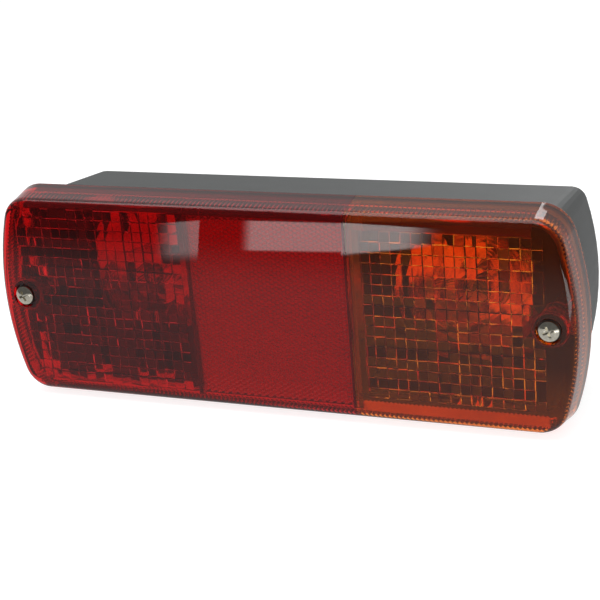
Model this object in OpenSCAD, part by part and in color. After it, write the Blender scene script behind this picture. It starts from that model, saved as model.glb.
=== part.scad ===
/* [Lens] */
// Length of the lens over its bowed ends, at the seal
lens_len = 240; // [220:1:270]
// Height of the lens at the seal
lens_h = 86.2; // [80:0.2:96]
// Depth of the lens from the seal to its face
lens_d = 15; // [13:0.5:20]
// Radius of the bowed ends
end_r = 116; // [100:1:200]
// Corner radius of the lens at the seal
lens_corner_r = 13; // [8:0.5:18]
// How much the face is shorter than the seal at each end
face_draft_x = 2.1; // [1:0.1:4]
// How much the face is lower than the seal at top and bottom
face_draft_z = 2.9; // [1:0.1:5]
// Radius of the edge round the face
face_edge_r = 2.6; // [1:0.1:3]
// Thickness of the side walls of the lens
lens_wall = 3.2; // [2:0.1:3.6]
// Thickness of the face
face_t = 3; // [2.4:0.1:4]
// Place of the joint between red and amber, right of the middle
joint_x = 33; // [25:1:40]
// Place of the wall between the tail lamp and the reflex field, left of the middle
reflex_x = 34; // [25:1:40]
// Thickness of the walls inside the lens
rib_t = 1.8; // [1.2:0.1:2.5]

/* [Lens optics] */
// Pitch of the optic squares
optic_pitch = 4; // [3:0.1:8]
// Depth of the grooves between the squares
optic_depth = 0.6; // [0.2:0.1:1]
// Width of the plain border round the optic squares
optic_border = 4; // [3:0.5:8]
// Height of the frame round the reflex field
reflex_frame_h = 2.4; // [1:0.1:2.6]
// Width of the frame round the reflex field
reflex_frame_w = 2; // [1:0.1:3]
// Thickness of the plate behind the reflex field
reflex_plate_t = 1.5; // [1:0.1:2]

/* [Housing] */
// Depth of the housing
housing_d = 51; // [48:1:60]
// How far the housing lies inside the lens at the seal
housing_inset = 4.6; // [4:0.1:7]
// How far the mounting face lies inside the lens at each end
back_inset_x = 8.4; // [7:0.1:12]
// How far the mounting face lies inside the lens at top and bottom
back_inset_z = 9.1; // [7:0.1:12]
// Corner radius of the mounting face
back_corner_r = 6; // [4:0.5:9]
// Radius of the edge round the mounting face
back_edge_r = 2; // [1:0.1:2.5]
// Thickness of the side walls of the housing
housing_wall = 2.5; // [2:0.1:3]
// Thickness of the back wall of the housing
back_wall = 3; // [2.6:0.1:4]
// Thickness of the flange that carries the seal
flange_t = 2.5; // [2:0.1:4]
// How far the flange lies inside the lens
flange_inset = 1.5; // [1.2:0.1:2]
// Height of the bevel behind the flange
flange_bevel = 3.5; // [2:0.1:5]

/* [Seal] */
// Thickness of the seal between lens and housing
seal_t = 1; // [0.8:0.1:2]
// Width of the seal
seal_w = 4; // [3:0.1:5]
// How far the seal lies inside the flange
seal_inset = 0.3; // [0.2:0.1:0.5]

/* [Lens screws] */
// Distance of each screw from the end of the lens
screw_edge = 12; // [11.5:0.1:14]
// Radius of the screw shank
screw_r = 2; // [1.5:0.1:2.1]
// Radius of the screw head
screw_head_r = 3.8; // [3.4:0.1:4]
// Height of the screw head
screw_head_h = 2.4; // [2:0.1:3]
// Length of the screw under its head
screw_len = 28; // [24:1:32]
// Radius of the round recess for the screw head
recess_r = 5; // [4.6:0.1:5.5]
// Depth of the recess for the screw head
recess_d = 1.2; // [0.8:0.1:1.6]
// Radius of the screw post in the lens
lens_post_r = 7; // [6:0.1:8]
// Radius of the screw post in the housing
housing_post_r = 4.3; // [3.8:0.1:5]
// Length of the screw post in the housing
housing_post_len = 20; // [18:1:26]
// Thickness of the sealing ring under the screw head
ring_t = 0.8; // [0.5:0.1:1]

/* [Mounting] */
// Distance between the two fixing holes
fix_pitch = 50; // [44:1:52]
// Radius of the fixing holes
fix_r = 3.25; // [2.5:0.05:3.5]
// Radius of the raised pads round the fixing holes
fix_pad_r = 7.5; // [6:0.1:8]
// Height of the raised pads
fix_pad_h = 1.6; // [1:0.1:3]
// Height of the cable hole above the middle
cable_z = 16; // [14:0.5:18]
// Radius of the hole for the cable grommet
grommet_hole_r = 6.5; // [5.5:0.1:7]
// Radius of the grommet's two lips
grommet_lip_r = 8.6; // [8:0.1:9]
// Thickness of each lip
grommet_lip_t = 1.5; // [1:0.1:1.6]
// Radius of the cable bore
cable_r = 3.5; // [2.5:0.1:4]

/* [Bulbs] */
// Radius of the bulb caps
cap_r = 7.5; // [7.2:0.1:7.7]
// Length of the bulb caps
cap_len = 17.5; // [16:0.5:20]
// Radius of the bulb glass
glass_r = 12; // [10:0.5:14]
// Length of the glass in front of the cap
glass_len = 27.3; // [25:0.1:30]
// Thickness of the bulb glass
glass_t = 0.7; // [0.5:0.1:1]
// Radius of the bayonet pins
pin_r = 1; // [0.8:0.1:1.2]

/* [Sockets] */
// Length of the socket sleeves
sleeve_len = 20; // [18:0.5:24]
// Thickness of the sleeve sheet
sleeve_t = 0.65; // [0.5:0.05:0.8]
// Radius of the foot of each socket
foot_r = 15.5; // [14.6:0.1:17]
// Thickness of the foot
foot_t = 1; // [0.8:0.1:1.2]
// Thickness of the earth strip
strip_t = 0.8; // [0.6:0.1:1]
// Width of the earth strip between the sockets
strip_w = 6; // [4:0.1:6]
// Thickness of the insulating discs
disc_t = 2.5; // [2:0.1:3]
// Height of the contact springs
spring_h = 4.2; // [4:0.1:5]
// Radius of the rivet shanks
rivet_r = 1.5; // [1:0.1:1.6]
// Radius of the rivet heads
rivet_head_r = 2.3; // [2:0.1:2.4]
// Distance of the rivets from the middle of a socket
rivet_ring = 12.6; // [12.4:0.1:12.8]

/* [Reflectors] */
// Thickness of the reflector dishes
dish_t = 1; // [0.8:0.1:1.5]
// How far the dish rims lie behind the seal
dish_back = 26; // [25:0.5:30]
// Depth of the dishes
dish_d = 5; // [2:0.5:6]
// Radius of the dish rims
dish_rim_r = 28; // [24:0.5:30]

/* [Terminal block] */
// Number of ways
ways = 3; // [2:1:4]
// Pitch of the ways
way_pitch = 9; // [8:0.5:10]
// Width of the block, across the ways
block_w = 10; // [9:0.5:12]
// Height of the block
block_h = 9; // [8:0.5:12]

/* [Hidden] */

// Clearance of parts that slip into each other
slip = 0.15;
// Clearance between parts that only stand beside each other
gap = 0.3;
// How far a cutter runs past the face that it cuts
cut = 1;
// Depth at which two bodies of one moulding run into each other
weld = 0.5;
$fn = 64;

// Depths, all measured forwards from the mounting face
seal_back = housing_d;
seal_front = housing_d + seal_t;
face_front = seal_front + lens_d;
face_back = face_front - face_t;
ring_seat = face_front - recess_d - ring_t;
head_seat = face_front - recess_d;
strip_front = back_wall + strip_t;
foot_front = strip_front + foot_t;
disc_back = back_wall + spring_h;
disc_front = disc_back + disc_t;
contact_h = 0.6;
solder_h = 1.2;
cap_back = disc_front + contact_h + solder_h;
cap_front = cap_back + cap_len;
pin_d = cap_back + 5.5;
sleeve_front = strip_front + sleeve_len;
dish_mouth_d = housing_d - dish_back;
dish_floor_d = dish_mouth_d - dish_d;

// Radii round the bulbs
sleeve_in = cap_r + slip + 0.1;
sleeve_out = sleeve_in + sleeve_t;
pin_end = sleeve_out + 0.1;
neck_in = sleeve_out + gap;
neck_out = neck_in + dish_t;

// Places along the lamp
screw_x = lens_len / 2 - screw_edge;
indicator_x = (joint_x + screw_x - housing_post_r) / 2;
tail_x = -(reflex_x + screw_x - housing_post_r) / 2;
room_x = (screw_x - housing_post_r - max(joint_x, reflex_x) - rib_t) / 2;

// Plan sizes: half length, end radius, half height, corner radius
seal_plan = [lens_len / 2, end_r, lens_h / 2, lens_corner_r];
face_plan = [lens_len / 2 - face_draft_x, end_r, lens_h / 2 - face_draft_z,
  lens_corner_r - 2];
back_plan = [lens_len / 2 - back_inset_x, end_r - 11, lens_h / 2 - back_inset_z,
  back_corner_r];
rim_plan = inset(seal_plan, housing_inset);
flange_plan = inset(seal_plan, flange_inset);
room_z = body_plan(dish_floor_d)[2] - housing_wall;
dish_r = min(room_x - gap, room_z - 1 - gap, dish_rim_r);

function lerp(a, b, t) = a + (b - a) * t;
function inset(p, d) = [p[0] - d, p[1] - d, p[2] - d, max(p[3] - d, 1.5)];
function body_plan(d) = lerp(back_plan, rim_plan, d / housing_d);
function lens_plan(d) = lerp(seal_plan, face_plan, (d - seal_front) / lens_d);

// Points of a plan: bowed ends, straight top and bottom, rounded corners
end_steps = 10;
corner_steps = 5;
function arc(cx, cy, r, a0, a1, n) =
  [for (i = [0:n]) [cx + r * cos(lerp(a0, a1, i / n)), cy + r * sin(lerp(a0, a1, i / n))]];
function corner_x(p) = p[0] - p[1] + sqrt(pow(p[1] - p[3], 2) - pow(p[2] - p[3], 2));
function corner_a(p) = asin((p[2] - p[3]) / (p[1] - p[3]));
function inner_points(list) = [for (i = [1:len(list) - 2]) list[i]];
function plan_points(p) =
  let (c = p[0] - p[1], x = corner_x(p), z = p[2] - p[3], r = p[3], a = corner_a(p))
  concat(
    inner_points(arc(c, 0, p[1], -a, a, end_steps)),
    arc(x, z, r, a, 90, corner_steps),
    arc(-x, z, r, 90, 180 - a, corner_steps),
    inner_points(arc(-c, 0, p[1], 180 - a, 180 + a, end_steps)),
    arc(-x, -z, r, 180 + a, 270, corner_steps),
    arc(x, -z, r, 270, 360 - a, corner_steps));

// Closed body through a list of [depth, plan]
module loft(stations) {
  rings = [for (s = stations) [for (p = plan_points(s[1])) [p[0], p[1], s[0]]]];
  n = len(rings[0]);
  m = len(rings);
  points = [for (ring = rings) each ring];
  sides = [for (j = [0:m - 2]) for (i = [0:n - 1])
    [j * n + i, j * n + (i + 1) % n, (j + 1) * n + (i + 1) % n, (j + 1) * n + i]];
  back = [[for (i = [n - 1:-1:0]) i]];
  front = [[for (i = [0:n - 1]) (m - 1) * n + i]];
  polyhedron(points = points, faces = [for (f = concat(sides, back, front)) [for (k = [len(f) - 1:-1:0]) f[k]]]);
}

// The lamp is drawn with its depth upwards, then turned to face forwards
module upright() { rotate([90, 0, 0]) children(); }

module tube(r_out, r_in, d0, d1) {
  translate([0, 0, d0])
    difference() {
      cylinder(r = r_out, h = d1 - d0);
      translate([0, 0, -cut]) cylinder(r = r_in, h = d1 - d0 + 2 * cut);
    }
}

module post(x, r, d0, d1) { translate([x, 0, d0]) cylinder(r = r, h = d1 - d0); }

module plain_wall(x0, x1, z_half, d0, d1) {
  translate([x0, -z_half, d0]) cube([x1 - x0, 2 * z_half, d1 - d0]);
}

// Housing
module housing_outer() {
  edge = [for (a = [0:22.5:90])
    [back_edge_r * (1 - cos(a)), inset(body_plan(0), back_edge_r * (1 - sin(a)))]];
  flange_back = housing_d - flange_t;
  bevel_back = flange_back - flange_bevel;
  loft(concat(edge,
    [[bevel_back, body_plan(bevel_back)],
     [flange_back, flange_plan],
     [housing_d, flange_plan]]));
}

module housing_cavity() {
  loft([[back_wall, inset(body_plan(back_wall), housing_wall)],
    [housing_d + cut, inset(body_plan(housing_d + cut), housing_wall)]]);
}

module housing_posts() {
  for (side = [-1, 1])
    scale([side, 1, 1]) {
      post(screw_x, housing_post_r, housing_d - housing_post_len, housing_d);
      translate([screw_x, -rib_t, housing_d - housing_post_len])
        cube([housing_post_r + housing_wall + back_inset_x - housing_inset, 2 * rib_t, housing_post_len]);
    }
}

module housing_walls() {
  z_half = lens_h / 2;
  plain_wall(joint_x - rib_t, joint_x, z_half, back_wall - weld, housing_d);
  plain_wall(-reflex_x, rib_t - reflex_x, z_half, back_wall - weld, housing_d);
}

module housing() {
  color([0.33, 0.36, 0.36])
    upright()
      difference() {
        union() {
          difference() {
            housing_outer();
            housing_cavity();
          }
          intersection() {
            housing_outer();
            union() {
              housing_posts();
              housing_walls();
              for (side = [-1, 1])
                post(side * fix_pitch / 2, fix_pad_r, back_wall - weld, back_wall + fix_pad_h);
              translate([0, cable_z, 0])
                post(0, grommet_lip_r + 1, back_wall - weld, back_wall + grommet_lip_t);
            }
          }
        }
        for (side = [-1, 1]) {
          post(side * fix_pitch / 2, fix_r, -cut, back_wall + fix_pad_h + cut);
          post(side * screw_x, screw_r + slip / 3, ring_seat - screw_len - 1, housing_d + cut);
        }
        translate([0, cable_z, 0]) {
          post(0, grommet_hole_r, -cut, back_wall + grommet_lip_t + cut);
          post(0, grommet_lip_r + slip, -cut, grommet_lip_t + slip);
        }
        strip_notch();
        at_rivets() {
          cylinder(r = rivet_r + slip / 3, h = back_wall + cut);
          translate([0, 0, -cut]) cylinder(r = rivet_head_r + slip, h = rivet_back + cut);
        }
      }
}

// Openings through which the earth strip passes the housing's inner walls
module strip_notch() {
  translate([-reflex_x - cut, strip_z - strip_w / 2 - gap, back_wall])
    cube([joint_x + reflex_x + 2 * cut, strip_w + 2 * gap, strip_t + gap]);
}

// Lens
module lens_outer() {
  edge_d = face_front - face_edge_r;
  edge = [for (a = [0:22.5:90])
    [edge_d + face_edge_r * sin(a), inset(lens_plan(edge_d), face_edge_r * (1 - cos(a)))]];
  loft(concat([[seal_front, seal_plan]], edge));
}

module lens_cavity() {
  loft([[seal_front - cut, inset(lens_plan(seal_front - cut), lens_wall)],
    [face_back - 1, inset(lens_plan(face_back - 1), lens_wall)],
    [face_back, inset(lens_plan(face_back), lens_wall + 1)]]);
}

module lens_shell(side) {
  difference() {
    union() {
      difference() {
        lens_outer();
        lens_cavity();
      }
      intersection() {
        lens_outer();
        union() {
          post(side * screw_x, lens_post_r, seal_front, face_front - weld);
          scale([side, 1, 1])
            translate([screw_x, -rib_t, seal_front])
              cube([screw_edge, 2 * rib_t, lens_d - weld]);
        }
      }
    }
    post(side * screw_x, screw_r + slip, seal_front - cut, face_front + cut);
    post(side * screw_x, recess_r, ring_seat, face_front + cut);
  }
}

// Row of V grooves along y, cut into the inside of the face
module grooves(w, h) {
  n = floor((w / 2 - optic_depth) / optic_pitch);
  teeth = [for (i = [-n:n]) each [
    [i * optic_pitch - optic_depth, 0],
    [i * optic_pitch, optic_depth],
    [i * optic_pitch + optic_depth, 0]]];
  rotate([90, 0, 0])
    linear_extrude(h, center = true)
      polygon(concat([[-w / 2, -weld], [-w / 2, 0]], teeth, [[w / 2, 0], [w / 2, -weld]]));
}

// Optic squares between x0 and x1
module optics(x0, x1) {
  w = x1 - x0 - 2 * optic_border;
  h = 2 * (lens_h / 2 - face_draft_z - lens_wall - optic_border);
  translate([(x0 + x1) / 2, 0, face_back]) {
    grooves(w, h);
    rotate([0, 0, 90]) grooves(h, w);
  }
}

module lens_ribs(places) {
  intersection() {
    lens_outer();
    for (x = places)
      plain_wall(x, x + rib_t, lens_h / 2, seal_front - seal_t + gap, face_front - weld);
  }
}

// Frame that carries the plate behind the reflex field
reflex_x0 = rib_t - reflex_x;
reflex_x1 = joint_x - rib_t;
reflex_half_h = lens_h / 2 - face_draft_z - lens_wall - 1.5;
module reflex_frame() {
  w = reflex_x1 - reflex_x0;
  translate([reflex_x0, -reflex_half_h, face_back - reflex_frame_h])
    difference() {
      cube([w, 2 * reflex_half_h, reflex_frame_h + weld]);
      translate([reflex_frame_w, reflex_frame_w, -cut])
        cube([w - 2 * reflex_frame_w, 2 * (reflex_half_h - reflex_frame_w), reflex_frame_h + 2 * cut]);
    }
}

module lens_red() {
  color([0.72, 0.05, 0.07])
    upright()
      difference() {
        union() {
          intersection() {
            lens_shell(-1);
            translate([-lens_len, -lens_h, 0])
              cube([lens_len + joint_x, 2 * lens_h, face_front + cut]);
          }
          lens_ribs([joint_x - rib_t, -reflex_x]);
          reflex_frame();
        }
        optics(lens_post_r - screw_x - optic_border, -reflex_x);
      }
}

module lens_amber() {
  color([0.85, 0.3, 0.05])
    upright()
      difference() {
        intersection() {
          lens_shell(1);
          translate([joint_x, -lens_h, 0])
            cube([lens_len, 2 * lens_h, face_front + cut]);
        }
        optics(joint_x, screw_x - lens_post_r + optic_border);
      }
}

module reflex_backplate() {
  color([0.75, 0.75, 0.76])
    upright()
      translate([reflex_x0 + slip, -reflex_half_h, face_back - reflex_frame_h - reflex_plate_t])
        cube([reflex_x1 - reflex_x0 - 2 * slip, 2 * reflex_half_h, reflex_plate_t]);
}

module lens_gasket() {
  color([0.06, 0.06, 0.06])
    upright()
      difference() {
        union() {
          difference() {
            loft([[seal_back, inset(flange_plan, seal_inset)],
              [seal_front, inset(flange_plan, seal_inset)]]);
            loft([[seal_back - cut, inset(flange_plan, seal_inset + seal_w)],
              [seal_front + cut, inset(flange_plan, seal_inset + seal_w)]]);
          }
          for (side = [-1, 1]) {
            post(side * screw_x, housing_post_r, seal_back, seal_front);
            scale([side, 1, 1])
              translate([screw_x, -rib_t, seal_back])
                cube([screw_edge - flange_inset - seal_inset - weld, 2 * rib_t, seal_t]);
          }
        }
        for (side = [-1, 1])
          post(side * screw_x, screw_r + slip, seal_back - cut, seal_front + cut);
      }
}

// Reflector dishes
dish_steps = 12;
function dish_line(r_in, back) = [for (i = [0:dish_steps])
  let (r = lerp(r_in, dish_r, i / dish_steps), k = max(r - neck_out, 0) / (dish_r - neck_out))
  [r, dish_floor_d - back + dish_d * k * k]];

module reflector(x) {
  color([0.85, 0.86, 0.88])
    upright()
      translate([x, 0, 0])
        rotate_extrude()
          polygon(concat(
            dish_line(neck_in, 0),
            [for (i = [dish_steps:-1:0]) dish_line(neck_out, dish_t)[i]],
            [[neck_out, foot_front], [neck_in, foot_front]]));
}

// Bulbs
glass_steps = 10;
ball_d = cap_front + glass_len - glass_r;
glass_neck_r = cap_r - 0.7;
function glass_line(t) = concat(
  [[glass_neck_r - t, cap_front - 3]],
  [for (i = [0:glass_steps])
    let (k = i / glass_steps)
    [lerp(glass_neck_r, glass_r, (1 - cos(180 * k)) / 2) - t, lerp(cap_front + 1, ball_d, k)]],
  [for (i = [1:glass_steps])
    let (a = 90 * i / glass_steps)
    [max((glass_r - t) * cos(a), 0), ball_d + (glass_r - t) * sin(a)]]);

module bulb_glass(x) {
  outer = glass_line(0);
  inner = glass_line(glass_t);
  color([0.9, 0.92, 0.93], 0.4)
    upright()
      translate([x, 0, 0])
        rotate_extrude()
          polygon(concat(outer, [for (i = [len(inner) - 1:-1:0]) inner[i]]));
}

pin_turn = 18;
module bulb_cap(x, contacts) {
  color([0.72, 0.6, 0.3])
    upright()
      translate([x, 0, 0]) {
        difference() {
          post(0, cap_r, cap_back, cap_front);
          post(0, glass_neck_r + 0.1, cap_front - 3, cap_front + cut);
          post(0, glass_neck_r - 1.2, cap_back + solder_h, cap_front + cut);
        }
        for (c = contacts)
          post(c, 2, cap_back - solder_h, cap_back + solder_h / 2);
        rotate([0, 0, pin_turn])
          for (side = [-1, 1])
            translate([0, 0, pin_d])
              rotate([0, side * 90, 0])
                translate([0, 0, cap_r - weld]) cylinder(r = pin_r, h = pin_end - cap_r + weld);
      }
}

// Stem, lead wires and coils, each coil across the bulb at its own depth
wire_r = 0.3;
coil_r = 0.7;
coil_len = 6;
stem_r = 2.6;
module bulb_filament(x, coils) {
  stem_front = cap_front + 5;
  color([0.7, 0.7, 0.72])
    upright()
      translate([x, 0, 0]) {
        post(0, glass_neck_r - 1.4, cap_back + solder_h, cap_back + solder_h + 2);
        post(0, stem_r, cap_back + solder_h, stem_front);
        for (c = coils) {
          translate([0, c[0], 0])
            for (side = [-1, 1])
              post(side * coil_len / 2, wire_r, stem_front - weld, c[1]);
          translate([0, c[0], c[1]])
            rotate([0, 90, 0]) cylinder(r = coil_r, h = coil_len + 1, center = true);
        }
        // Foot that spreads the wires from the stem
        translate([-coil_len / 2 - 1, -1.8, stem_front - 1]) cube([coil_len + 2, 3.6, 1]);
      }
}

// Sockets
module socket(x) {
  color([0.8, 0.8, 0.78])
    upright()
      translate([x, 0, 0])
        difference() {
          union() {
            post(0, sleeve_out, strip_front, sleeve_front);
            post(0, foot_r, strip_front, foot_front);
          }
          post(0, sleeve_in, strip_front - cut, sleeve_front + cut);
          for (side = [-1, 1]) {
            translate([side * rivet_ring, 0, 0])
              post(0, rivet_r + slip / 3, strip_front - cut, foot_front + cut);
            rotate([0, 0, 90 - 90 * side]) bayonet_slot();
          }
        }
}

// One J slot: the way in, and the seat that the pin turns into
module bayonet_slot() {
  w = 2 * (pin_r + slip);
  low = pin_d - w / 2;
  reach = sleeve_out + cut;
  seat_w = w + 2 * sleeve_out * sin(pin_turn / 2);
  translate([0, -w / 2, pin_d]) cube([reach, w, sleeve_front - pin_d + cut]);
  rotate([0, 0, pin_turn / 2]) translate([0, -seat_w / 2, low]) cube([reach, seat_w, w]);
}

module socket_disc(x, contacts) {
  color([0.45, 0.28, 0.16])
    upright()
      translate([x, 0, 0])
        difference() {
          post(0, sleeve_in - slip, disc_back, disc_front);
          for (c = contacts)
            post(c, contact_r + slip / 3, disc_back - cut, disc_front + cut);
        }
}

contact_r = 1;
module socket_contacts(x, contacts) {
  color([0.78, 0.62, 0.28])
    upright()
      translate([x, 0, 0])
        for (c = contacts) {
          post(c, contact_r, disc_back - contact_h, disc_front + contact_h);
          post(c, 1.9, disc_front, disc_front + contact_h);
          post(c, 1.6, disc_back - contact_h, disc_back);
        }
}

// Coil spring swept as one closed tube
spring_wire_r = 0.45;
spring_coil_r = 6.2;
spring_turns = 2.5;
spring_rings = 50;
spring_sides = 8;
module socket_spring(x) {
  h0 = back_wall + spring_wire_r;
  h1 = disc_back - spring_wire_r;
  points = [for (i = [0:spring_rings]) for (j = [0:spring_sides - 1])
    let (a = 360 * spring_turns * i / spring_rings, b = 360 * j / spring_sides,
      r = spring_coil_r + spring_wire_r * cos(b))
    [r * cos(a), r * sin(a), lerp(h0, h1, i / spring_rings) + spring_wire_r * sin(b)]];
  sides = [for (i = [0:spring_rings - 1]) for (j = [0:spring_sides - 1])
    let (k = (j + 1) % spring_sides)
    [i * spring_sides + j, i * spring_sides + k, (i + 1) * spring_sides + k,
      (i + 1) * spring_sides + j]];
  start = [[for (j = [spring_sides - 1:-1:0]) j]];
  end = [[for (j = [0:spring_sides - 1]) spring_rings * spring_sides + j]];
  color([0.7, 0.71, 0.73])
    upright()
      translate([x, 0, 0])
        polyhedron(points = points, faces = concat(sides, start, end));
}

// Earth strip: a disc under each socket, joined below the fixing holes
strip_z = -(fix_pad_r + gap + strip_w / 2);
module earth_strip() {
  color([0.8, 0.66, 0.32])
    upright()
      translate([0, 0, back_wall])
        difference() {
          union() {
            for (x = [tail_x, indicator_x])
              translate([x, 0, 0]) cylinder(r = foot_r, h = strip_t);
            translate([tail_x, strip_z - strip_w / 2, 0])
              cube([indicator_x - tail_x, strip_w, strip_t]);
          }
          for (x = [tail_x, indicator_x])
            translate([x, 0, -cut]) cylinder(r = sleeve_in, h = strip_t + 2 * cut);
          at_rivets() cylinder(r = rivet_r + slip / 3, h = back_wall, center = true);
        }
}

module at_rivets() {
  for (x = [tail_x, indicator_x])
    for (side = [-1, 1])
      translate([x + side * rivet_ring, 0, 0]) children();
}

rivet_back = 1.2;
module socket_rivets() {
  color([0.75, 0.76, 0.78])
    upright()
      at_rivets() {
        translate([0, 0, rivet_back / 2]) cylinder(r = rivet_r, h = foot_front - rivet_back / 2);
        translate([0, 0, 0.1]) cylinder(r = rivet_head_r, h = rivet_back - 0.1);
        translate([0, 0, foot_front]) cylinder(r = rivet_head_r, h = 1);
      }
}

// Terminal block on the back wall, below the earth strip and beside the lower side wall
block_end = 1;
block_rib = 1.5;
room_floor_z = inset(body_plan(back_wall), housing_wall)[2];
block_len = ways * way_pitch + 2 * block_end;
block_z = gap + block_w / 2 - room_floor_z;
insert_w = way_pitch - 2 * block_rib;
insert_h = block_h - 2 * block_rib;
insert_back = back_wall + block_rib;
insert_set_back = 1;
insert_bore_r = 1.7;
insert_mid = insert_back + insert_h / 2;
insert_front = insert_back + insert_h - slip;
module at_ways() {
  for (i = [0:ways - 1])
    translate([(i - (ways - 1) / 2) * way_pitch, block_z, 0]) children();
}

module terminal_block() {
  color([0.88, 0.86, 0.8])
    upright()
      difference() {
        translate([-block_len / 2, block_z - block_w / 2, back_wall])
          cube([block_len, block_w, block_h]);
        at_ways() {
          translate([-insert_w / 2, -block_w / 2 - cut, insert_back])
            cube([insert_w, block_w + 2 * cut, insert_h]);
          post(0, terminal_head_r + gap, insert_back, back_wall + block_h + cut);
        }
      }
}

terminal_screw_r = 1.4;
terminal_screw_len = 3;
terminal_head_r = 2.2;
terminal_head_h = 1.4;
terminal_slot_w = 0.8;
module terminal_inserts() {
  color([0.8, 0.66, 0.32])
    upright()
      at_ways()
        difference() {
          translate([slip - insert_w / 2, insert_set_back - block_w / 2, insert_back])
            cube([insert_w - 2 * slip, block_w - 2 * insert_set_back, insert_h - slip]);
          translate([0, 0, insert_mid - gap])
            rotate([90, 0, 0]) cylinder(r = insert_bore_r, h = block_w, center = true);
          post(0, terminal_screw_r + slip / 3, insert_mid, back_wall + block_h + cut);
        }
}

module terminal_screws() {
  color([0.78, 0.79, 0.8])
    upright()
      at_ways() {
        post(0, terminal_screw_r, insert_front - terminal_screw_len, insert_front + terminal_head_h / 2);
        difference() {
          post(0, terminal_head_r, insert_front, insert_front + terminal_head_h);
          translate([-terminal_head_r - cut, -terminal_slot_w / 2, insert_front + terminal_head_h / 2])
            cube([2 * (terminal_head_r + cut), terminal_slot_w, cut]);
        }
      }
}

// Rubber grommet with a lip on each side of the back wall
module cable_grommet() {
  lip_back = slip;
  seat = grommet_lip_t + slip;
  web_front = back_wall + grommet_lip_t;
  color([0.07, 0.07, 0.07])
    upright()
      translate([0, cable_z, 0])
        difference() {
          union() {
            post(0, grommet_lip_r, lip_back, seat);
            post(0, grommet_hole_r - slip / 3, seat - weld, web_front + weld);
            post(0, grommet_lip_r, web_front, web_front + grommet_lip_t);
          }
          post(0, cable_r, -cut, web_front + grommet_lip_t + cut);
        }
}

// Screws with a cross recess in a domed head
module lens_screws() {
  dome_r = 7;
  color([0.8, 0.8, 0.78])
    upright()
      for (side = [-1, 1])
        translate([side * screw_x, 0, 0])
          difference() {
            union() {
              post(0, screw_r, head_seat - screw_len, head_seat + weld);
              intersection() {
                post(0, screw_head_r, head_seat, head_seat + screw_head_h);
                translate([0, 0, head_seat + screw_head_h - dome_r]) sphere(r = dome_r);
              }
            }
            for (turn = [20, 110])
              rotate([0, 0, turn])
                translate([-2.2, -0.45, head_seat + screw_head_h - 1.3]) cube([4.4, 0.9, 1.3 + cut]);
          }
}

module screw_seals() {
  color([0.08, 0.08, 0.08])
    upright()
      for (side = [-1, 1])
        translate([side * screw_x, 0, 0])
          tube(screw_head_r + gap, screw_r + slip / 3, ring_seat, head_seat);
}

single = [0];
twin = [-2.8, 2.8];
housing();
lens_red();
lens_amber();
reflex_backplate();
lens_gasket();
reflector(tail_x);  // reflector_tail
reflector(indicator_x);  // reflector_indicator
bulb_glass(tail_x);  // bulb_glass_tail
bulb_cap(tail_x, twin);  // bulb_cap_tail
bulb_filament(tail_x, [[0, ball_d], [-1.2, ball_d - 4]]);  // bulb_filament_tail
bulb_glass(indicator_x);  // bulb_glass_indicator
bulb_cap(indicator_x, single);  // bulb_cap_indicator
bulb_filament(indicator_x, [[0, ball_d]]);  // bulb_filament_indicator
socket(tail_x);  // socket_tail
socket(indicator_x);  // socket_indicator
socket_disc(tail_x, twin);  // socket_disc_tail
socket_disc(indicator_x, single);  // socket_disc_indicator
socket_contacts(tail_x, twin);  // socket_contacts_tail
socket_contacts(indicator_x, single);  // socket_contacts_indicator
socket_spring(tail_x);  // socket_spring_tail
socket_spring(indicator_x);  // socket_spring_indicator
earth_strip();
socket_rivets();
terminal_block();
terminal_inserts();
terminal_screws();
cable_grommet();
lens_screws();
screw_seals();
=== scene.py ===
import math
import random

import bmesh
import bpy
from mathutils import Matrix, Vector


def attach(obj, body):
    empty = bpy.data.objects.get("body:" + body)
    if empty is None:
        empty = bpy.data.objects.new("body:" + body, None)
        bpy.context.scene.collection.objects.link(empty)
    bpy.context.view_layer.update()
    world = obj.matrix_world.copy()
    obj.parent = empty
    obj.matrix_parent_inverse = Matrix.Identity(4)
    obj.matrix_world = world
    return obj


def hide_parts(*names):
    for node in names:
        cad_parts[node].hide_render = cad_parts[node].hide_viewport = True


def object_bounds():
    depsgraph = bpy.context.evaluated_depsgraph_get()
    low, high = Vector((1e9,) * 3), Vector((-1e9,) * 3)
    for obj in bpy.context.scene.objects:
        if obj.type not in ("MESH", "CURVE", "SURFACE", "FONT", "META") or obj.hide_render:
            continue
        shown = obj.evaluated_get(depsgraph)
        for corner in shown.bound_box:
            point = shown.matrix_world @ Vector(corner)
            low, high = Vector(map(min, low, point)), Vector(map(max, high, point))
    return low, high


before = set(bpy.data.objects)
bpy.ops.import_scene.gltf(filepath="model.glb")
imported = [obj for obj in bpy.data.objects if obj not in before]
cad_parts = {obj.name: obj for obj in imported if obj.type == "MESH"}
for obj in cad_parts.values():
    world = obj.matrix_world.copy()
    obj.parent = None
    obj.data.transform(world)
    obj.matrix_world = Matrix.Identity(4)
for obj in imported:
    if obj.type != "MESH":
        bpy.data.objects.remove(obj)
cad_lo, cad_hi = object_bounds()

# Sizes of the lamp in millimetres, as in the part's source. Depth runs forward from the mounting face.
# A plan is half the length, the radius of the bowed ends, half the height and the corner radius.
MM = 0.001
SEAL_FRONT = 52.0
FACE_FRONT = 67.0
FACE_BACK = 64.0
SEAL_PLAN = (120.0, 116.0, 43.1, 13.0)
FACE_PLAN = (117.9, 116.0, 40.2, 11.0)
FACE_EDGE = 3.4
SCREW_X = 108.0
JOINT_X = 33.0
REFLEX_X = 34.0
RIB = 1.8
HALF_GAP = 0.03
BAR_FRONT = FACE_BACK - HALF_GAP


# ---------------------------------------------------------------- materials

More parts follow.
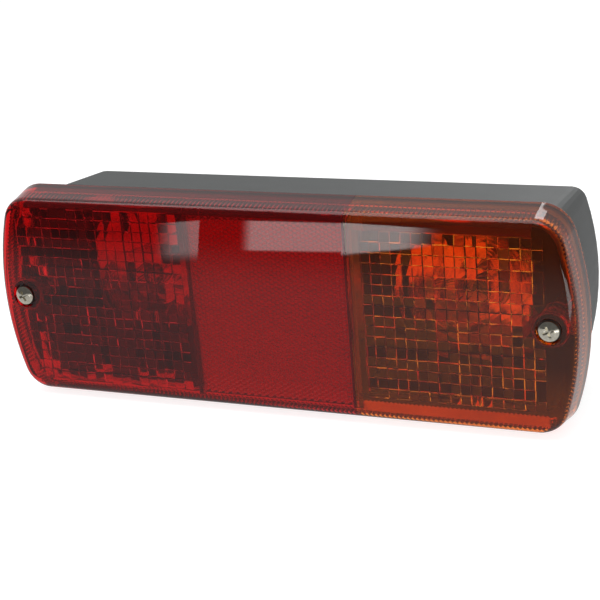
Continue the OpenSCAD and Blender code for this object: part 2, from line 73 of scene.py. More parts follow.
def material(name):
    mat = bpy.data.materials.new(name)
    mat.use_nodes = True
    tree = mat.node_tree
    return mat, tree, tree.nodes["Principled BSDF"]


def add(tree, kind, **values):
    node = tree.nodes.new(kind)
    for key, value in values.items():
        if key in node.inputs:
            node.inputs[key].default_value = value
        else:
            setattr(node, key, value)
    return node


def set_shader(shader, **values):
    names = {"color": "Base Color", "rough": "Roughness", "metal": "Metallic", "ior": "IOR",
             "glass": "Transmission Weight", "specular": "Specular IOR Level"}
    for key, value in values.items():
        shader.inputs[names[key]].default_value = value


def object_coords(tree):
    return add(tree, "ShaderNodeTexCoord").outputs["Object"]


def noise(tree, vector, scale, detail=3.0, rough=0.5):
    node = add(tree, "ShaderNodeTexNoise")
    node.inputs["Scale"].default_value = scale
    node.inputs["Detail"].default_value = detail
    node.inputs["Roughness"].default_value = rough
    tree.links.new(vector, node.inputs["Vector"])
    return node.outputs["Fac"]


def ramp(tree, value, stops):
    node = add(tree, "ShaderNodeValToRGB")
    band = node.color_ramp
    while len(band.elements) < len(stops):
        band.elements.new(0.5)
    for element, (place, color) in zip(band.elements, stops):
        element.position = place
        element.color = (*color, 1.0)
    tree.links.new(value, node.inputs["Fac"])
    return node.outputs["Color"]


def span(tree, value, low, high):
    node = add(tree, "ShaderNodeMapRange")
    node.inputs["To Min"].default_value = low
    node.inputs["To Max"].default_value = high
    tree.links.new(value, node.inputs["Value"])
    return node.outputs["Result"]


def math_node(tree, operation, a, b=None, c=None):
    """Math node. Each of its values is a number or a socket."""
    node = add(tree, "ShaderNodeMath", operation=operation)
    for i, value in enumerate((a, b, c)):
        if isinstance(value, (int, float)):
            node.inputs[i].default_value = value
        elif value is not None:
            tree.links.new(value, node.inputs[i])
    return node.outputs[0]


def ease(tree, value, start, end, low=0.0, high=1.0):
    """Smooth step from low to high between two values."""
    node = add(tree, "ShaderNodeMapRange", interpolation_type="SMOOTHSTEP")
    for name, number in (("From Min", start), ("From Max", end), ("To Min", low), ("To Max", high)):
        node.inputs[name].default_value = number
    tree.links.new(value, node.inputs["Value"])
    return node.outputs["Result"]


def mix_shaders(tree, fac, first, second):
    node = add(tree, "ShaderNodeMixShader")
    tree.links.new(fac, node.inputs["Fac"])
    tree.links.new(first, node.inputs[1])
    tree.links.new(second, node.inputs[2])
    return node.outputs["Shader"]


def bump(tree, height, strength, distance):
    node = add(tree, "ShaderNodeBump")
    node.inputs["Strength"].default_value = strength
    node.inputs["Distance"].default_value = distance
    tree.links.new(height, node.inputs["Height"])
    return node.outputs["Normal"]


def moulded_plastic(name, low, high, rough=(0.42, 0.55), grain=9000.0, depth=0.00002):
    """Satin plastic with a fine moulded grain and a faint cloudy change of tone."""
    mat, tree, shader = material(name)
    place = object_coords(tree)
    cloud = noise(tree, place, 60.0, 4.0)
    tree.links.new(ramp(tree, cloud, [(0.3, low), (0.7, high)]), shader.inputs["Base Color"])
    tree.links.new(span(tree, cloud, *rough), shader.inputs["Roughness"])
    fine = noise(tree, place, grain, 2.0)
    tree.links.new(bump(tree, fine, 0.35, depth), shader.inputs["Normal"])
    return mat


def metal(name, low, high, rough, scale=400.0, depth=0.000004):
    """Bare or plated metal: tone and roughness follow a fine noise, and faint marks break the gloss."""
    mat, tree, shader = material(name)
    set_shader(shader, metal=1.0)
    place = object_coords(tree)
    wear = noise(tree, place, scale, 5.0, 0.6)
    tree.links.new(ramp(tree, wear, [(0.3, low), (0.7, high)]), shader.inputs["Base Color"])
    tree.links.new(span(tree, wear, *rough), shader.inputs["Roughness"])
    tree.links.new(bump(tree, wear, 0.4, depth), shader.inputs["Normal"])
    return mat


def tinted_glass(name, tint, shade, rough=(0.0, 0.03), ior=1.49, haze=0.0):
    """Clear tinted moulding with a little haze. Lamps shine through it as through a coloured pane."""
    mat, tree, shader = material(name)
    set_shader(shader, glass=1.0 - haze, ior=ior)
    place = object_coords(tree)
    cloud = noise(tree, place, 45.0, 3.0)
    tree.links.new(ramp(tree, cloud, [(0.2, tint), (0.8, shade)]), shader.inputs["Base Color"])
    tree.links.new(span(tree, cloud, *rough), shader.inputs["Roughness"])
    pane = add(tree, "ShaderNodeBsdfTransparent")
    pane.inputs["Color"].default_value = (*[c ** 0.5 for c in tint], 1.0)
    path = add(tree, "ShaderNodeLightPath")
    surface = mix_shaders(tree, path.outputs["Is Shadow Ray"], shader.outputs["BSDF"], pane.outputs["BSDF"])
    tree.links.new(surface, tree.nodes["Material Output"].inputs["Surface"])
    return mat


RED_TINT, RED_SHADE = (0.64, 0.007, 0.009), (0.60, 0.005, 0.007)
PRISM_TINT, PRISM_SHADE = (0.96, 0.16, 0.17), (0.94, 0.13, 0.14)
AMBER_TINT, AMBER_SHADE = (0.96, 0.225, 0.014), (0.93, 0.20, 0.012)
FILLET_TINT, FILLET_SHADE = (0.52, 0.46, 0.36), (0.34, 0.31, 0.26)
LENS_HAZE = 0.022
mats = {
    "housing": moulded_plastic("housing_plastic", (0.024, 0.028, 0.028), (0.031, 0.035, 0.034), (0.5, 0.62)),
    "lens_red": tinted_glass("lens_red_acrylic", RED_TINT, RED_SHADE, haze=LENS_HAZE),
    "prisms": tinted_glass("reflex_prisms_acrylic", PRISM_TINT, PRISM_SHADE, haze=LENS_HAZE),
    "fillet": tinted_glass("corner_fillet_acrylic", FILLET_TINT, FILLET_SHADE, (0.0, 0.06)),
    "lens_amber": tinted_glass("lens_amber_acrylic", AMBER_TINT, AMBER_SHADE, haze=LENS_HAZE),
    "plate": moulded_plastic("plate_plastic", (0.88, 0.88, 0.88), (0.93, 0.93, 0.92)),
    "rubber": moulded_plastic("black_rubber", (0.018, 0.018, 0.018), (0.030, 0.030, 0.029), (0.65, 0.8), 4000.0),
    "bright": metal("bright_sheet", (0.84, 0.85, 0.86), (0.90, 0.91, 0.92), (0.05, 0.12), 120.0),
    "bulb": tinted_glass("bulb_glass", (0.97, 0.98, 0.98), (0.94, 0.95, 0.95), (0.0, 0.01), 1.5),
    "brass": metal("dull_brass", (0.58, 0.43, 0.18), (0.74, 0.58, 0.28), (0.28, 0.42)),
    "filament": metal("bare_wire", (0.45, 0.45, 0.46), (0.62, 0.62, 0.63), (0.25, 0.4)),
    "plated": metal("zinc_plate", (0.60, 0.60, 0.57), (0.74, 0.74, 0.71), (0.24, 0.40)),
    "board": moulded_plastic("brown_board", (0.22, 0.11, 0.05), (0.32, 0.17, 0.08), (0.5, 0.65), 2500.0),
    "spring": metal("spring_steel", (0.42, 0.42, 0.44), (0.56, 0.56, 0.58), (0.25, 0.38)),
    "nylon": moulded_plastic("natural_nylon", (0.66, 0.63, 0.55), (0.76, 0.73, 0.65), (0.4, 0.5)),
    "screw": metal("nickel_plate", (0.58, 0.54, 0.44), (0.88, 0.84, 0.72), (0.10, 0.30), 1500.0, depth=0.00002),
}


# ---------------------------------------------------------------- outlines and meshes

# Points on each bowed end, rounded corner and straight side. The flutes take four points each.
END_STEPS = 160
CORNER_STEPS = 33
SIDE_STEPS = 448
MIN_CORNER = 1.5
SHARP_ANGLE = math.radians(32)


def inset(plan, d):
    """The plan, smaller by d all round."""
    return (plan[0] - d, plan[1] - d, plan[2] - d, max(plan[3] - d, MIN_CORNER))


def lerp(a, b, t):
    return a + (b - a) * t


def lens_plan(depth):
    """Outside of the lens at a depth: its walls slope in from the seal to the face."""
    t = (depth - SEAL_FRONT) / (FACE_FRONT - SEAL_FRONT)
    return tuple(lerp(a, b, t) for a, b in zip(SEAL_PLAN, FACE_PLAN))


def outline(plan):
    """Even points round a plan with bowed ends, straight sides and rounded corners."""
    half, end_r, high, corner = plan
    cx = half - end_r
    kx = cx + math.sqrt((end_r - corner) ** 2 - (high - corner) ** 2)
    kz = high - corner
    a = math.asin(kz / (end_r - corner))

    def arc(x, z, r, a0, a1, n):
        turns = [lerp(a0, a1, i / n) for i in range(n)]
        return [(x + r * math.cos(t), z + r * math.sin(t)) for t in turns]

    def side(x0, x1, z):
        return [(lerp(x0, x1, i / SIDE_STEPS), z) for i in range(SIDE_STEPS)]

    up, flat = math.pi / 2, math.pi
    return (arc(cx, 0, end_r, -a, a, END_STEPS) + arc(kx, kz, corner, a, up, CORNER_STEPS)
            + side(kx, -kx, high) + arc(-kx, kz, corner, up, flat - a, CORNER_STEPS)
            + arc(-cx, 0, end_r, flat - a, flat + a, END_STEPS)
            + arc(-kx, -kz, corner, flat + a, flat + up, CORNER_STEPS)
            + side(-kx, kx, -high) + arc(kx, -kz, corner, flat + up, 2 * flat - a, CORNER_STEPS))


def circle(x, z, r, n=48):
    turns = [2 * math.pi * i / n for i in range(n)]
    return [(x + r * math.cos(t), z + r * math.sin(t)) for t in turns]


def ring_edges(bm, verts):
    """Edges of a closed ring of points, made where they are missing."""
    return [bm.edges.get((v, w)) or bm.edges.new((v, w)) for v, w in zip(verts, verts[1:] + verts[:1])]


def sweep(bm, stations):
    """Skin through a list of (depth, points, smooth). Returns the edges of its first and last ring."""
    depth, points, _ = stations[0]
    ring = [bm.verts.new((x, -depth, z)) for x, z in points]
    first = last = ring_edges(bm, ring)
    for depth, points, smooth in stations[1:]:
        made = bmesh.ops.extrude_edge_only(bm, edges=last)["geom"]
        fresh = {g for g in made if isinstance(g, bmesh.types.BMVert)}
        ring = [next(e.other_vert(v) for e in v.link_edges if e.other_vert(v) in fresh) for v in ring]
        for v, (x, z) in zip(ring, points):
            v.co = (x, -depth, z)
        for face in (g for g in made if isinstance(g, bmesh.types.BMFace)):
            face.smooth = smooth
        last = ring_edges(bm, ring)
    return first, last


def fill(bm, edges, axis=(0, -1, 0)):
    """Flat sheet between closed rings of edges."""
    made = bmesh.ops.triangle_fill(bm, use_beauty=True, use_dissolve=False, edges=edges, normal=axis)
    faces = [g for g in made["geom"] if isinstance(g, bmesh.types.BMFace)]
    for face in faces:
        face.smooth = False


def finish_mesh(bm, name, mat, replaces=()):
    """Turns a bmesh in millimetres into a finished piece of the lamp."""
    bmesh.ops.recalc_face_normals(bm, faces=bm.faces)
    bmesh.ops.scale(bm, vec=(MM, MM, MM), verts=bm.verts)
    mesh = bpy.data.meshes.new(name)
    bm.to_mesh(mesh)
    bm.free()
    mesh.set_sharp_from_angle(angle=SHARP_ANGLE)
    mesh.materials.append(mat)
    piece = bpy.data.objects.new(name, mesh)
    bpy.context.scene.collection.objects.link(piece)
    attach(piece, "root")
    if replaces:
        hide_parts(*replaces)


def inside_plan(plan, x, z):
    """True where a point lies within the outline of a plan."""
    half, end_r, high, corner = plan
    x, z = abs(x), abs(z)
    kx = half - end_r + math.sqrt((end_r - corner) ** 2 - (high - corner) ** 2)
    kz = high - corner
    if z > high or math.hypot(x - half + end_r, z) > end_r:
        return False
    return not (x > kx and z > kz and math.hypot(x - kx, z - kz) > corner)


# ---------------------------------------------------------------- lens

# Side wall: plain behind, thinner and fluted in front, but thick all the way at the red end
WALL = 3.2
THIN = 1.5
THICK = 2.05
FLUTES_BACK = 57.2
PLAIN_FRONT = 56.8
THICK_END_X = 104.0
THICK_END_RUN = 8.0
SEAL_CHAMFER = 0.3
WALL_LOOP = 4.0
EDGE_STEPS = 8
EDGE_SUPPORT = 0.2
# Screw posts
BORE_R = 2.15
RECESS_R = 5.0
RECESS_DEPTH = 65.0
POST_R = 5.9
RING_BACK = 62.2
RING_FOOT = (6.15, 7.0)
RING_TOP = (6.3, 6.6)
# Optic squares
BORDER = 0.6
RED_END_X = -100
GROOVE_DEEP = 0.55
GROOVE_HALF = 0.3
HALF_SQUARE = 1.7
SQUARE_LIFT = 0.05
SQUARE_SINK = 0.4
LEAN_MIN = 0.02
ROW_SHARE = 0.8
COLUMN_SPREAD = 0.035
ROW_SPREAD = 0.03
# Walls and prism bars inside the lens
RIB_BACK = 51.4
RIB_ROOM = 0.25
WALL_SLOPE = 0.19
BAR_THIN = 0.06
TOOTH_PITCH = 1.7
# Reflex prisms
PRISM_EDGE = 1.05
PRISM_SKIN = 0.25
# How close points of one place lie: when rings are joined, when a plane cuts, on the edge of a bar
SAME = 0.001
CUT_SAME = 1e-5
EDGE_SAME = 0.01


def optic_grid(bm, x0, x1, z0, z1, columns, rows, seed, screw_x, tilt):
    """Sheet of optic squares with grooves between them. Returns the edges of its rim."""
    draw = random.Random(seed)
    made = bmesh.ops.create_grid(bm, x_segments=columns, y_segments=rows, size=0.5,
                                 matrix=Matrix.Rotation(math.radians(90), 4, "X"))
    verts = made["verts"]
    for v in verts:
        v.co = Vector((lerp(x0, x1, v.co.x + 0.5), -FACE_BACK, lerp(z0, z1, v.co.z + 0.5)))
    room, end_room = (inset(lens_plan(FACE_BACK), wall + BORDER) for wall in (THICK, WALL))

    def fits(v):
        here = end_room if v.co.x < RED_END_X else room
        return inside_plan(here, v.co.x, v.co.z) and math.hypot(v.co.x - screw_x, v.co.z) >= POST_R + BORDER

    faces = list({f for v in verts for f in v.link_faces})
    outside = [f for f in faces if not all(fits(v) for v in f.verts)]
    bmesh.ops.delete(bm, geom=outside, context="FACES")
    faces = sorted({f for f in faces if f.is_valid},
                   key=lambda f: (round(f.calc_center_median().z, 3), round(f.calc_center_median().x, 3)))
    rim_verts = {v for f in faces for e in f.edges if e.is_boundary for v in e.verts}
    for v in {v for f in faces for v in f.verts} - rim_verts:
        v.co.y -= GROOVE_DEEP
    bmesh.ops.inset_individual(bm, faces=faces, thickness=GROOVE_HALF, depth=0.0, use_even_offset=False)
    column_lean = [draw.choice((-1, 1)) * draw.uniform(LEAN_MIN, tilt) for _ in range(columns)]
    row_lean = [draw.choice((-1, 1)) * draw.uniform(LEAN_MIN, ROW_SHARE * tilt) for _ in range(rows)]
    for f in faces:
        mid = f.calc_center_median()
        column = int((mid.x - x0) / (x1 - x0) * columns)
        row = int((mid.z - z0) / (z1 - z0) * rows)
        tilt_x = column_lean[column] + draw.uniform(-COLUMN_SPREAD, COLUMN_SPREAD)
        tilt_z = row_lean[row] + draw.uniform(-ROW_SPREAD, ROW_SPREAD)
        level = -FACE_BACK + SQUARE_LIFT + abs(tilt_x) * HALF_SQUARE + abs(tilt_z) * HALF_SQUARE - SQUARE_SINK
        for v in f.verts:
            off = v.co - mid
            v.co.y = level + tilt_x * off.x + tilt_z * off.z
    for f in {f for v in rim_verts for f in v.link_faces} | set(faces):
        f.smooth = False
    return [e for e in bm.edges if e.is_boundary and e.verts[0] in rim_verts and e.verts[1] in rim_verts]


def plain_wall(depth, d):
    return outline(inset(lens_plan(depth), d))


def fluted_wall(depth):
    """Inside of the side wall with its flutes. The wall is thicker at the red end."""
    wave = (0.0, 0.5, 1.0, 0.5)
    more = WALL - THICK
    rings = [plain_wall(depth, d) for d in (THIN, THICK, THIN + more, THICK + more)]
    points = []
    for i, (a, b, c, d) in enumerate(zip(*rings)):
        end = min(max((-a[0] - THICK_END_X) / THICK_END_RUN, 0.0), 1.0)
        points.append([lerp(lerp(a[k], b[k], wave[i % 4]), lerp(c[k], d[k], wave[i % 4]), end) for k in (0, 1)])
    return points


def lens_shell(bm, left, right, grid, screw_x):
    """Shell of the whole lens with one screw post and one field of squares, cut off at left or right."""
    edge_d = FACE_FRONT - FACE_EDGE
    chamfer_d = SEAL_FRONT + SEAL_CHAMFER
    stations = [(FACE_BACK, fluted_wall(FACE_BACK), True),
                (FLUTES_BACK, fluted_wall(FLUTES_BACK), True),
                (PLAIN_FRONT, plain_wall(PLAIN_FRONT, WALL), True),
                (SEAL_FRONT, plain_wall(SEAL_FRONT, WALL), True),
                (SEAL_FRONT, plain_wall(SEAL_FRONT, SEAL_CHAMFER), False),
                (chamfer_d, plain_wall(chamfer_d, 0), True),
                (SEAL_FRONT + WALL_LOOP, plain_wall(SEAL_FRONT + WALL_LOOP, 0), True),
                (edge_d, plain_wall(edge_d, 0), True)]
    for i in range(1, EDGE_STEPS + 1):
        a = math.radians(90 * i / EDGE_STEPS)
        round_in = FACE_EDGE * (1 - math.cos(a))
        stations.append((edge_d + FACE_EDGE * math.sin(a), plain_wall(edge_d, round_in), True))
    # This ring keeps the face's own normals flat
    stations.append((FACE_FRONT, plain_wall(edge_d, FACE_EDGE + EDGE_SUPPORT), True))
    inner, outer = sweep(bm, stations)
    recess, post = sweep(bm, [(FACE_FRONT, circle(screw_x, 0, RECESS_R), True),
                              (RECESS_DEPTH, circle(screw_x, 0, RECESS_R), True),
                              (RECESS_DEPTH, circle(screw_x, 0, BORE_R), False),
                              (SEAL_FRONT, circle(screw_x, 0, BORE_R), True),
                              (SEAL_FRONT, circle(screw_x, 0, POST_R), False),
                              (FACE_BACK, circle(screw_x, 0, POST_R), True)])
    fill(bm, outer + recess)
    fill(bm, inner + post + optic_grid(bm, *grid), (0, 1, 0))
    for place, keep_side in ((left, 1), (right, -1)):
        if place is None:
            continue
        made = bmesh.ops.bisect_plane(bm, geom=bm.verts[:] + bm.edges[:] + bm.faces[:], dist=CUT_SAME,
                                      plane_co=(place, 0, 0), plane_no=(keep_side, 0, 0), clear_inner=True)
        cut = [e for e in made["geom_cut"] if isinstance(e, bmesh.types.BMEdge)]
        fill(bm, cut, (keep_side, 0, 0))
    bmesh.ops.recalc_face_normals(bm, faces=bm.faces)


def tapered_wall(bm, x0, x1):
    """Wall across the inside of the lens, as high as the room at each depth."""
    made = bmesh.ops.create_cube(bm, size=1.0)
    for v in made["verts"]:
        depth = BAR_FRONT if v.co.y < 0 else RIB_BACK
        high = inset(lens_plan(max(depth, SEAL_FRONT)), WALL + RIB_ROOM)[2]
        v.co = Vector((x0 if v.co.x < 0 else x1, -depth, high if v.co.z > 0 else -high))


def wedge(bm, x0, x1, thin_z, thick_z, back, tooth=0.0):
    """Prism bar behind the face: thin at one height, reaching back to a depth at the other.
    A tooth depth gives it teeth along the thin edge."""
    out = math.copysign(WALL_SLOPE * (BAR_FRONT - back), thick_z)
    made = bmesh.ops.create_cube(bm, size=1.0)
    fresh = set(made["verts"])
    for v in fresh:
        x = x0 if v.co.x < 0 else x1
        if v.co.z > 0:
            v.co = Vector((x, -BAR_FRONT if v.co.y < 0 else -back, thick_z if v.co.y < 0 else thick_z + out))
        else:
            v.co = Vector((x, -BAR_FRONT if v.co.y < 0 else BAR_THIN - BAR_FRONT, thin_z))
    if not tooth:
        return
    cuts = 2 * int((x1 - x0) / TOOTH_PITCH) + 1
    step = (x1 - x0) / (cuts + 1)
    along = [e for e in bm.edges if e.verts[0] in fresh and abs(e.verts[0].co.x - e.verts[1].co.x) > 1]
    made = bmesh.ops.subdivide_edges(bm, edges=along, cuts=cuts, use_grid_fill=True)
    for v in (g for g in made["geom_inner"] if isinstance(g, bmesh.types.BMVert)):
        if abs(v.co.z - thin_z) < EDGE_SAME and round((v.co.x - x0) / step) % 2:
            v.co.z += math.copysign(tooth, -thick_z)


def boss_ring(bm, screw_x):
    """Raised ring on the back of the face, round the screw post."""
    ring = bmesh.new()
    feet = [(BAR_FRONT, circle(screw_x, 0, r), True) for r in RING_FOOT]
    sweep(ring, [feet[0], (RING_BACK, circle(screw_x, 0, RING_TOP[0]), True),
                 (RING_BACK, circle(screw_x, 0, RING_TOP[1]), False), feet[1], feet[0]])
    bmesh.ops.remove_doubles(ring, verts=ring.verts, dist=SAME)
    bmesh.ops.recalc_face_normals(ring, faces=ring.faces)
    mesh = bpy.data.meshes.new("boss_ring")
    ring.to_mesh(mesh)
    ring.free()
    bm.from_mesh(mesh)
    bpy.data.meshes.remove(mesh)


def reflex_prisms(bm, x0, x1, z0, z1):
    """Tile of cube corners: rows of rhombs at three levels, cut to a rectangle."""
    edge = PRISM_EDGE
    level = edge / math.sqrt(2)
    low = BAR_FRONT - PRISM_SKIN
    rise = edge * math.sqrt(3) / 2
    # A few more than the tile needs, because its edges are cut after
    columns = int((x1 - x0) / edge) + 8
    rows = int((z1 - z0) / rise) + 6
    places = {}
    for j in range(rows):
        for i in range(columns):
            col = i - j // 2 - 1
            x = x0 - 2 * edge + (col + j / 2) * edge
            z = z0 - 2 * rise + j * rise
            k = (col - j) % 3
            places[col, j] = (bm.verts.new((x, -(low - level * k), z)), k)
    for (i, j), (v, k) in list(places.items()):
        if k != 0:
            continue
        around = [(i + 1, j), (i, j + 1), (i - 1, j + 1), (i - 1, j), (i, j - 1), (i + 1, j - 1)]
        for n in range(6):
            a, b, c = around[n], around[(n + 1) % 6], around[(n + 2) % 6]
            if all(p in places for p in (a, b, c)) and places[a][1] == 1 and places[b][1] == 2:
                bm.faces.new((v, places[a][0], places[b][0], places[c][0]))
    loose = [v for v in bm.verts if not v.link_faces]
    bmesh.ops.delete(bm, geom=loose, context="VERTS")
    for place, side in (((x0, 0, 0), (1, 0, 0)), ((x1, 0, 0), (-1, 0, 0)),
                        ((0, 0, z0), (0, 0, 1)), ((0, 0, z1), (0, 0, -1))):
        bmesh.ops.bisect_plane(bm, geom=bm.verts[:] + bm.edges[:] + bm.faces[:], dist=CUT_SAME,
                               plane_co=place, plane_no=side, clear_inner=True)
    rim = [e for e in bm.edges if e.is_boundary]
    made = bmesh.ops.extrude_edge_only(bm, edges=rim)["geom"]
    for v in (g for g in made if isinstance(g, bmesh.types.BMVert)):
        v.co.y = -BAR_FRONT
    fill(bm, [g for g in made if isinstance(g, bmesh.types.BMEdge)])
    for f in bm.faces:
        f.smooth = False


# Left, right, bottom and top of a field of squares, its columns and rows, the start of its draws,
# the place of its screw and the most that a column leans
TAIL_GRID = (-108.7, -36.2, -36.3, 36.7, 18, 18, 5, -SCREW_X, 0.24)
AMBER_GRID = (37.6, 106.1, -32.3, 33.7, 17, 16, 11, SCREW_X, 0.26)
BAR_END = 102.0
BAR_TOP = 38.5
BAR_GAP = 0.1
TILE_GAP = 0.6
TILE_HIGH = 36.4
# Distances from the joint: both sides of the amber wall, the start of the bar above the squares and below them
AMBER_WALL = (0.5, 2.1)
AMBER_BAR = 2.4
AMBER_FILLET = 2.6

red = bmesh.new()
lens_shell(red, None, JOINT_X - HALF_GAP, TAIL_GRID, -SCREW_X)
tapered_wall(red, JOINT_X - RIB, JOINT_X - HALF_GAP)
tapered_wall(red, -REFLEX_X, RIB - REFLEX_X)
wedge(red, -BAR_END, -REFLEX_X - BAR_GAP, 36.9, BAR_TOP, 62.7)
wedge(red, RIB - REFLEX_X + BAR_GAP, JOINT_X - RIB - BAR_GAP, 36.5, BAR_TOP, 62.3)
boss_ring(red, -SCREW_X)
finish_mesh(red, "lens_red_moulding", mats["lens_red"], ("lens_red",))

tile = bmesh.new()
reflex_prisms(tile, RIB - REFLEX_X + TILE_GAP, JOINT_X - RIB - TILE_GAP, -TILE_HIGH, TILE_HIGH)
finish_mesh(tile, "reflex_prisms", mats["prisms"])

amber = bmesh.new()
lens_shell(amber, JOINT_X + HALF_GAP, None, AMBER_GRID, SCREW_X)
wedge(amber, JOINT_X + AMBER_BAR, BAR_END, 34.0, BAR_TOP, 61.0)
tapered_wall(amber, JOINT_X + AMBER_WALL[0], JOINT_X + AMBER_WALL[1])
boss_ring(amber, SCREW_X)
finish_mesh(amber, "lens_amber_moulding", mats["lens_amber"], ("lens_amber",))

corner = bmesh.new()
wedge(corner, JOINT_X + AMBER_FILLET, 107.0, -34.2, -37.9, 59.8, 0.7)
finish_mesh(corner, "amber_corner_fillet", mats["fillet"])


# ---------------------------------------------------------------- carried over nodes

def dress(node, mat):
    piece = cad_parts[node]
    for slot in piece.material_slots:
        slot.material = mat
    if not piece.material_slots:
        piece.data.materials.append(mat)


# Every CAD node but the two lenses, by material
FINISHES = {
    "housing": ["housing"],
    "plate": ["reflex_backplate"],
    "rubber": ["lens_gasket", "cable_grommet", "screw_seals"],
    "bright": ["reflector_tail", "reflector_indicator"],
    "bulb": ["bulb_glass_tail", "bulb_glass_indicator"],
    "filament": ["bulb_filament_tail", "bulb_filament_indicator"],
    "brass": ["bulb_cap_tail", "bulb_cap_indicator", "socket_contacts_tail", "socket_contacts_indicator",
              "earth_strip", "terminal_inserts"],
    "plated": ["socket_tail", "socket_indicator", "socket_rivets", "terminal_screws"],
    "board": ["socket_disc_tail", "socket_disc_indicator"],
    "spring": ["socket_spring_tail", "socket_spring_indicator"],
    "nylon": ["terminal_block"],
    "screw": ["lens_screws"],
}
for finish, names in FINISHES.items():
    for node in names:
        dress(node, mats[finish])


# ---------------------------------------------------------------- settings and camera

scene = bpy.context.scene
scene.view_settings.view_transform = "Standard"
scene.cycles.use_denoising = True
scene.cycles.max_bounces = 24
scene.cycles.transmission_bounces = 24
scene.cycles.transparent_max_bounces = 24
scene.cycles.glossy_bounces = 8
scene.cycles.diffuse_bounces = 3
scene.cycles.blur_glossy = 0.3

# The photo's viewpoint: place in metres, turns in degrees, lens in millimetres
CAMERA_PLACE = (0.23953, -0.57470, 0.20652)
CAMERA_HEADING = 24.008
CAMERA_DIP = 19.853
CAMERA_ROLL = -4.849
CAMERA_LENS = 94.782

camera = bpy.data.cameras.new("camera")
camera.lens = CAMERA_LENS
camera.sensor_width = 36.0
camera.clip_start = 0.01
camera.clip_end = 50.0
eye = bpy.data.objects.new("camera", camera)
turn = Matrix.Identity(4)
for degrees, axis in ((CAMERA_HEADING, "Z"), (90 - CAMERA_DIP, "X"), (CAMERA_ROLL, "Z")):
    turn = turn @ Matrix.Rotation(math.radians(degrees), 4, axis)
eye.matrix_world = Matrix.Translation(CAMERA_PLACE) @ turn
scene.collection.objects.link(eye)
scene.camera = eye


# ---------------------------------------------------------------- room, floor and light

# Bright behind and above the lamp, dim in front where the camera stands
world = bpy.data.worlds.new("studio")
scene.world = world
world.use_nodes = True
wt = world.node_tree
wt.nodes.clear()
direction = add(wt, "ShaderNodeTexCoord")
split = add(wt, "ShaderNodeSeparateXYZ")
wt.links.new(direction.outputs["Generated"], split.inputs["Vector"])
height = math_node(wt, "MULTIPLY_ADD", split.outputs["Z"], 0.9, split.outputs["Y"])
tones = [(0.0, (0.10, 0.10, 0.10)), (0.5, (0.15, 0.15, 0.15)), (1.0, (0.82, 0.82, 0.82))]
room = ramp(wt, ease(wt, height, -0.4, 0.9), tones)
dim = add(wt, "ShaderNodeBackground")
wt.links.new(room, dim.inputs["Color"])
white = add(wt, "ShaderNodeBackground")
white.inputs["Color"].default_value = (1, 1, 1, 1)
path = add(wt, "ShaderNodeLightPath")
backwards = ease(wt, split.outputs["Y"], -0.05, 0.10)
through = math_node(wt, "MULTIPLY", path.outputs["Is Transmission Ray"], backwards)
open_view = math_node(wt, "MAXIMUM", path.outputs["Is Camera Ray"], through)
out = add(wt, "ShaderNodeOutputWorld")
wt.links.new(mix_shaders(wt, open_view, dim.outputs[0], white.outputs[0]), out.inputs["Surface"])
world.cycles.sampling_method = "NONE"

floor_z = cad_lo.z
CARD_LIFT = 0.0005
CARD_STEPS = 8


def flat_grid(name, corners, steps=1):
    """Grid between four corners, listed near left, near right, far right, far left."""
    bm = bmesh.new()
    bm.loops.layers.uv.new("UVMap")
    made = bmesh.ops.create_grid(bm, x_segments=steps, y_segments=steps, size=0.5, calc_uvs=True)
    for v in made["verts"]:
        s, t = v.co.x + 0.5, v.co.y + 0.5
        near = Vector(corners[0]).lerp(Vector(corners[1]), s)
        far = Vector(corners[3]).lerp(Vector(corners[2]), s)
        v.co = near.lerp(far, t)
    mesh = bpy.data.meshes.new(name)
    bm.to_mesh(mesh)
    bm.free()
    piece = bpy.data.objects.new(name, mesh)
    scene.collection.objects.link(piece)
    return piece


floor = flat_grid("floor", [(x, y, floor_z) for x, y in ((-3, -3), (3, -3), (3, 3), (-3, 3))])
mat, tree, lit = material("pale_floor")
set_shader(lit, color=(0.85, 0.85, 0.85, 1), rough=0.8, specular=0.0)
place = add(tree, "ShaderNodeSeparateXYZ")
tree.links.new(object_coords(tree), place.inputs["Vector"])
path = add(tree, "ShaderNodeLightPath")
# What the camera sees: white with a soft shadow
shade = add(tree, "ShaderNodeBsdfDiffuse", Color=(0.45, 0.45, 0.45, 1))
lift = add(tree, "ShaderNodeEmission", Color=(1, 1, 1, 1), Strength=0.80)
seen = add(tree, "ShaderNodeAddShader")
tree.links.new(shade.outputs[0], seen.inputs[0])
tree.links.new(lift.outputs[0], seen.inputs[1])
# Painted light seen only through the lens: the floor glows white close to the lamp, fading to the right in front
# of it
behind = ease(tree, place.outputs["Y"], -0.138, -0.10)
slant = math_node(tree, "MULTIPLY_ADD", place.outputs["Y"], -0.8, place.outputs["X"])
painted_glow_front = ease(tree, slant, 0.160, 0.190, 1.0, 0.03)
level = math_node(tree, "MAXIMUM", behind, painted_glow_front)
through = add(tree, "ShaderNodeEmission", Color=(1, 1, 1, 1))
tree.links.new(level, through.inputs["Strength"])
# Painted reflection: what the gloss mirrors is a dim glow on the floor, darker farther away
gloss = add(tree, "ShaderNodeEmission", Color=(1, 1, 1, 1))
near = ease(tree, place.outputs["Y"], -0.28, -0.19, 0.07, 0.50)
back = ease(tree, place.outputs["Y"], -0.10, 0.0, 0.0, 0.50)
tree.links.new(math_node(tree, "ADD", near, back), gloss.inputs["Strength"])
surface = mix_shaders(tree, path.outputs["Is Glossy Ray"], lit.outputs["BSDF"], gloss.outputs[0])
surface = mix_shaders(tree, path.outputs["Is Transmission Ray"], surface, through.outputs[0])
surface = mix_shaders(tree, path.outputs["Is Camera Ray"], surface, seen.outputs[0])
tree.links.new(surface, tree.nodes["Material Output"].inputs["Surface"])
floor.data.materials.append(mat)


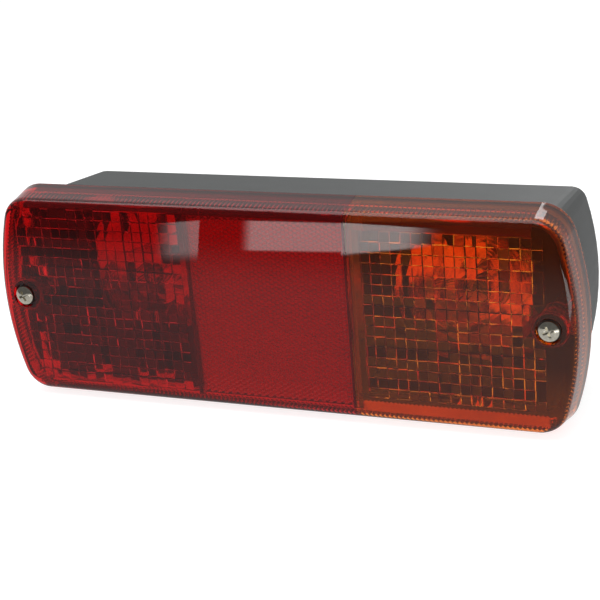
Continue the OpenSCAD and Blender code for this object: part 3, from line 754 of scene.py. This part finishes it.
def soft_card(name, corners, radiance, left=0.0, right=0.0, near=0.0, far=0.0):
    """Card of light that shows only in gloss. The last four numbers are the widths of its soft edges."""
    piece = flat_grid(name, corners, CARD_STEPS)
    mat, tree, shader = material(name)
    tree.nodes.remove(shader)
    uv = add(tree, "ShaderNodeSeparateXYZ")
    tree.links.new(add(tree, "ShaderNodeUVMap").outputs["UV"], uv.inputs["Vector"])
    glow = None
    for axis, edge, width in (("X", 0, left), ("X", 1, right), ("Y", 0, near), ("Y", 1, far)):
        if width:
            step = ease(tree, uv.outputs[axis], edge, abs(edge - width))
            glow = math_node(tree, "MULTIPLY", glow, step) if glow else step
    light = add(tree, "ShaderNodeEmission", Color=(1, 1, 1, 1))
    tree.links.new(math_node(tree, "MULTIPLY", glow, radiance), light.inputs["Strength"])
    clear = add(tree, "ShaderNodeBsdfTransparent")
    surface = mix_shaders(tree, glow, clear.outputs[0], light.outputs[0])
    tree.links.new(surface, tree.nodes["Material Output"].inputs["Surface"])
    piece.data.materials.append(mat)
    piece.visible_camera = piece.visible_diffuse = piece.visible_transmission = piece.visible_shadow = False


def on_floor(*corners):
    """Corners in millimetres, just above the floor."""
    return [(x * MM, y * MM, floor_z + CARD_LIFT) for x, y in corners]


soft_card("card_left", on_floor((-139, -218), (-111, -225), (-146, -300), (-173, -290)),
          2.6, 0.6, 0.03, 0.35, 0.04)
soft_card("card_middle", on_floor((-102, -250), (-44, -256), (-64, -306), (-125, -303)),
          3.6, 0.16, 0.0, 0.1, 0.05)
soft_card("card_right", on_floor((-44, -250), (2, -274), (-3, -303), (-65, -307)),
          4.9, 0.0, 0.45, 0.14, 0.05)
soft_card("card_edge", on_floor((120, -185), (300, -185), (300, -330), (120, -330)),
          3.0, 0.1, 0.1, 0.1, 0.1)
soft_card("card_back", ((-0.19, 1.0, 0.36), (0.20, 1.0, 0.36), (0.20, 1.0, 1.0), (-0.19, 1.0, 1.0)),
          4.5, 0.05, 0.05, 0.05, 0.05)


def area_lamp(name, place, size, radiance, mirrored=False):
    """Softbox that points at the lamp. Gloss shows it only where it is mirrored."""
    lamp = bpy.data.lights.new(name, "AREA")
    lamp.shape = "RECTANGLE"
    lamp.size, lamp.size_y = size
    lamp.energy = radiance * math.pi * size[0] * size[1]
    piece = bpy.data.objects.new(name, lamp)
    place = Vector(place)
    piece.matrix_world = Matrix.Translation(place) @ (-place).to_track_quat("-Z", "Y").to_matrix().to_4x4()
    piece.visible_camera = False
    piece.visible_transmission = False
    piece.visible_glossy = mirrored
    scene.collection.objects.link(piece)


area_lamp("top_softbox", (-0.10, -0.15, 0.85), (0.9, 0.7), 1.9, True)
area_lamp("side_softbox", (-0.75, -0.30, 0.35), (0.5, 0.5), 1.0)
area_lamp("front_softbox", (0.15, -1.20, 0.55), (0.7, 0.5), 5.0)
